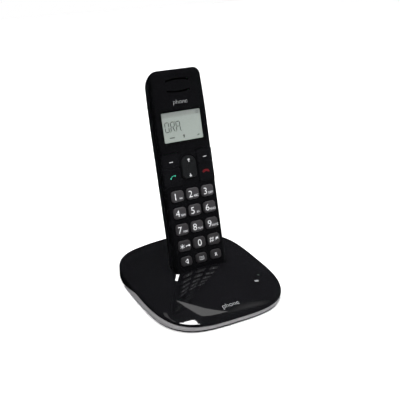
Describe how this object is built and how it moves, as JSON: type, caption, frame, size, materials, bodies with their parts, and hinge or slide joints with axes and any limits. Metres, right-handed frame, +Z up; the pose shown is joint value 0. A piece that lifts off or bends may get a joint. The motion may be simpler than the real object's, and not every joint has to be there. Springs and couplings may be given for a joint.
{
  "type": "cordless phone with base",
  "caption": "Slim cordless telephone handset leaning back in a low domed charging base, with a keypad, navigation rocker and display window.",
  "frame": {"origin": "middle of the base's footprint, on the surface it stands on", "axes": "+X to the right of someone facing the keypad, +Y to the back, +Z up"},
  "size_m": [0.1204, 0.1378, 0.1825],
  "materials": {
    "glossy_black_shell": "high gloss black moulding",
    "satin_black_shell": "satin black moulding",
    "key_plastic": "fine satin dark grey",
    "silver_trim": "satin silver paint on plastic",
    "bottom_plastic": "textured black",
    "rubber_pad": "matt",
    "display_window": "clear polished plastic",
    "display_glass": "grey-green liquid crystal",
    "circuit_board": "green solder mask",
    "contact_metal": "plated spring steel",
    "speaker_cone": "matt fibre cone",
    "silicone": "soft matt silicone",
    "battery_wrap": "shrink-wrapped cell",
    "socket_plastic": "black",
    "lamp_lens": "clear pale green lens"
  },
  "bodies": {
    "base": {"base_top_shell": "glossy_black_shell", "base_trim_band": "silver_trim", "base_bottom_shell": "bottom_plastic", "base_circuit_board": "circuit_board", "power_socket": "socket_plastic", "line_socket": "socket_plastic", "base_status_lens": "lamp_lens", "charge_pin_barrel_left": "contact_metal", "charge_pin_barrel_right": "contact_metal", "base_foot_front_left": "rubber_pad", "base_screw_front_left": "contact_metal", "base_foot_front_right": "rubber_pad", "base_screw_front_right": "contact_metal", "base_foot_rear_left": "rubber_pad", "base_screw_rear_left": "contact_metal", "base_foot_rear_right": "rubber_pad", "base_screw_rear_right": "contact_metal"},
    "handset": {"handset_front_shell": "glossy_black_shell", "handset_rear_shell": "satin_black_shell", "display_window": "display_window", "display_panel": "display_glass", "handset_circuit_board": "circuit_board", "earpiece_speaker": "speaker_cone", "loudspeaker": "speaker_cone", "microphone": "contact_metal", "keypad_mat": "silicone", "battery_bridge_contact": "contact_metal", "battery_cell_left": "battery_wrap", "battery_cell_right": "battery_wrap", "battery_spring_left": "contact_metal", "battery_spring_right": "contact_metal", "handset_charge_plate_left": "contact_metal", "handset_charge_plate_right": "contact_metal", "handset_screw_left": "contact_metal", "handset_screw_right": "contact_metal"},
    "battery_cover": {"battery_cover": "satin_black_shell"},
    "page_button": {"page_button": "satin_black_shell"},
    "navigation_rocker": {"navigation_rocker": "key_plastic"},
    "charge_pin_left": {"charge_pin_left": "contact_metal"},
    "charge_pin_right": {"charge_pin_right": "contact_metal"},
    "key_1": {"key_1": "key_plastic"},
    "key_2": {"key_2": "key_plastic"},
    "key_3": {"key_3": "key_plastic"},
    "key_4": {"key_4": "key_plastic"},
    "key_5": {"key_5": "key_plastic"},
    "key_6": {"key_6": "key_plastic"},
    "key_7": {"key_7": "key_plastic"},
    "key_8": {"key_8": "key_plastic"},
    "key_9": {"key_9": "key_plastic"},
    "key_star": {"key_star": "key_plastic"},
    "key_0": {"key_0": "key_plastic"},
    "key_hash": {"key_hash": "key_plastic"},
    "key_speaker": {"key_speaker": "key_plastic"},
    "key_phonebook": {"key_phonebook": "key_plastic"},
    "key_recall": {"key_recall": "key_plastic"},
    "soft_key_left": {"soft_key_left": "glossy_black_shell"},
    "soft_key_right": {"soft_key_right": "glossy_black_shell"},
    "talk_key": {"talk_key": "glossy_black_shell"},
    "end_key": {"end_key": "glossy_black_shell"}
  },
  "joints": [
    {"name": "handset_lift", "type": "slide", "parent": "base", "child": "handset", "axis": [0, 0.2957, 0.9553], "range_m": [0, 0.06]},
    {"name": "battery_cover_lift", "type": "slide", "parent": "handset", "child": "battery_cover", "axis": [0, 0.9553, -0.2957], "range_m": [0, 0.03]},
    {"name": "page_button_press", "type": "slide", "parent": "base", "child": "page_button", "axis": [0, 0, -1], "range_m": [0, 0.0005], "stiffness_N_per_m": 600, "springref_m": -0.0008},
    {"name": "navigation_rocker_tilt", "type": "hinge", "parent": "handset", "child": "navigation_rocker", "pos_m": [0, 0.0209, 0.10422], "axis": [1, 0, 0], "range_deg": [-2.5, 2.5], "stiffness_Nm_per_rad": 0.05},
    {"name": "charge_pin_left_press", "type": "slide", "parent": "base", "child": "charge_pin_left", "axis": [0, -0.2957, -0.9553], "range_m": [0, 0.001], "stiffness_N_per_m": 300, "springref_m": -0.0005},
    {"name": "charge_pin_right_press", "type": "slide", "parent": "base", "child": "charge_pin_right", "axis": [0, -0.2957, -0.9553], "range_m": [0, 0.001], "stiffness_N_per_m": 300, "springref_m": -0.0005},
    {"name": "key_1_press", "type": "slide", "parent": "handset", "child": "key_1", "axis": [0, 0.9553, -0.2957], "range_m": [0, 0.0006], "stiffness_N_per_m": 400, "springref_m": -0.0006},
    {"name": "key_2_press", "type": "slide", "parent": "handset", "child": "key_2", "axis": [0, 0.9553, -0.2957], "range_m": [0, 0.0006], "stiffness_N_per_m": 400, "springref_m": -0.0006},
    {"name": "key_3_press", "type": "slide", "parent": "handset", "child": "key_3", "axis": [0, 0.9553, -0.2957], "range_m": [0, 0.0006], "stiffness_N_per_m": 400, "springref_m": -0.0006},
    {"name": "key_4_press", "type": "slide", "parent": "handset", "child": "key_4", "axis": [0, 0.9553, -0.2957], "range_m": [0, 0.0006], "stiffness_N_per_m": 400, "springref_m": -0.0006},
    {"name": "key_5_press", "type": "slide", "parent": "handset", "child": "key_5", "axis": [0, 0.9553, -0.2957], "range_m": [0, 0.0006], "stiffness_N_per_m": 400, "springref_m": -0.0006},
    {"name": "key_6_press", "type": "slide", "parent": "handset", "child": "key_6", "axis": [0, 0.9553, -0.2957], "range_m": [0, 0.0006], "stiffness_N_per_m": 400, "springref_m": -0.0006},
    {"name": "key_7_press", "type": "slide", "parent": "handset", "child": "key_7", "axis": [0, 0.9553, -0.2957], "range_m": [0, 0.0006], "stiffness_N_per_m": 400, "springref_m": -0.0006},
    {"name": "key_8_press", "type": "slide", "parent": "handset", "child": "key_8", "axis": [0, 0.9553, -0.2957], "range_m": [0, 0.0006], "stiffness_N_per_m": 400, "springref_m": -0.0006},
    {"name": "key_9_press", "type": "slide", "parent": "handset", "child": "key_9", "axis": [0, 0.9553, -0.2957], "range_m": [0, 0.0006], "stiffness_N_per_m": 400, "springref_m": -0.0006},
    {"name": "key_star_press", "type": "slide", "parent": "handset", "child": "key_star", "axis": [0, 0.9553, -0.2957], "range_m": [0, 0.0006], "stiffness_N_per_m": 400, "springref_m": -0.0006},
    {"name": "key_0_press", "type": "slide", "parent": "handset", "child": "key_0", "axis": [0, 0.9553, -0.2957], "range_m": [0, 0.0006], "stiffness_N_per_m": 400, "springref_m": -0.0006},
    {"name": "key_hash_press", "type": "slide", "parent": "handset", "child": "key_hash", "axis": [0, 0.9553, -0.2957], "range_m": [0, 0.0006], "stiffness_N_per_m": 400, "springref_m": -0.0006},
    {"name": "key_speaker_press", "type": "slide", "parent": "handset", "child": "key_speaker", "axis": [0, 0.9553, -0.2957], "range_m": [0, 0.0006], "stiffness_N_per_m": 400, "springref_m": -0.0006},
    {"name": "key_phonebook_press", "type": "slide", "parent": "handset", "child": "key_phonebook", "axis": [0, 0.9553, -0.2957], "range_m": [0, 0.0006], "stiffness_N_per_m": 400, "springref_m": -0.0006},
    {"name": "key_recall_press", "type": "slide", "parent": "handset", "child": "key_recall", "axis": [0, 0.9553, -0.2957], "range_m": [0, 0.0006], "stiffness_N_per_m": 400, "springref_m": -0.0006},
    {"name": "soft_key_left_press", "type": "slide", "parent": "handset", "child": "soft_key_left", "axis": [0, 0.9553, -0.2957], "range_m": [0, 0.0006], "stiffness_N_per_m": 400, "springref_m": -0.0006},
    {"name": "soft_key_right_press", "type": "slide", "parent": "handset", "child": "soft_key_right", "axis": [0, 0.9553, -0.2957], "range_m": [0, 0.0006], "stiffness_N_per_m": 400, "springref_m": -0.0006},
    {"name": "talk_key_press", "type": "slide", "parent": "handset", "child": "talk_key", "axis": [0, 0.9553, -0.2957], "range_m": [0, 0.0006], "stiffness_N_per_m": 400, "springref_m": -0.0006},
    {"name": "end_key_press", "type": "slide", "parent": "handset", "child": "end_key", "axis": [0, 0.9553, -0.2957], "range_m": [0, 0.0006], "stiffness_N_per_m": 400, "springref_m": -0.0006}
  ]
}
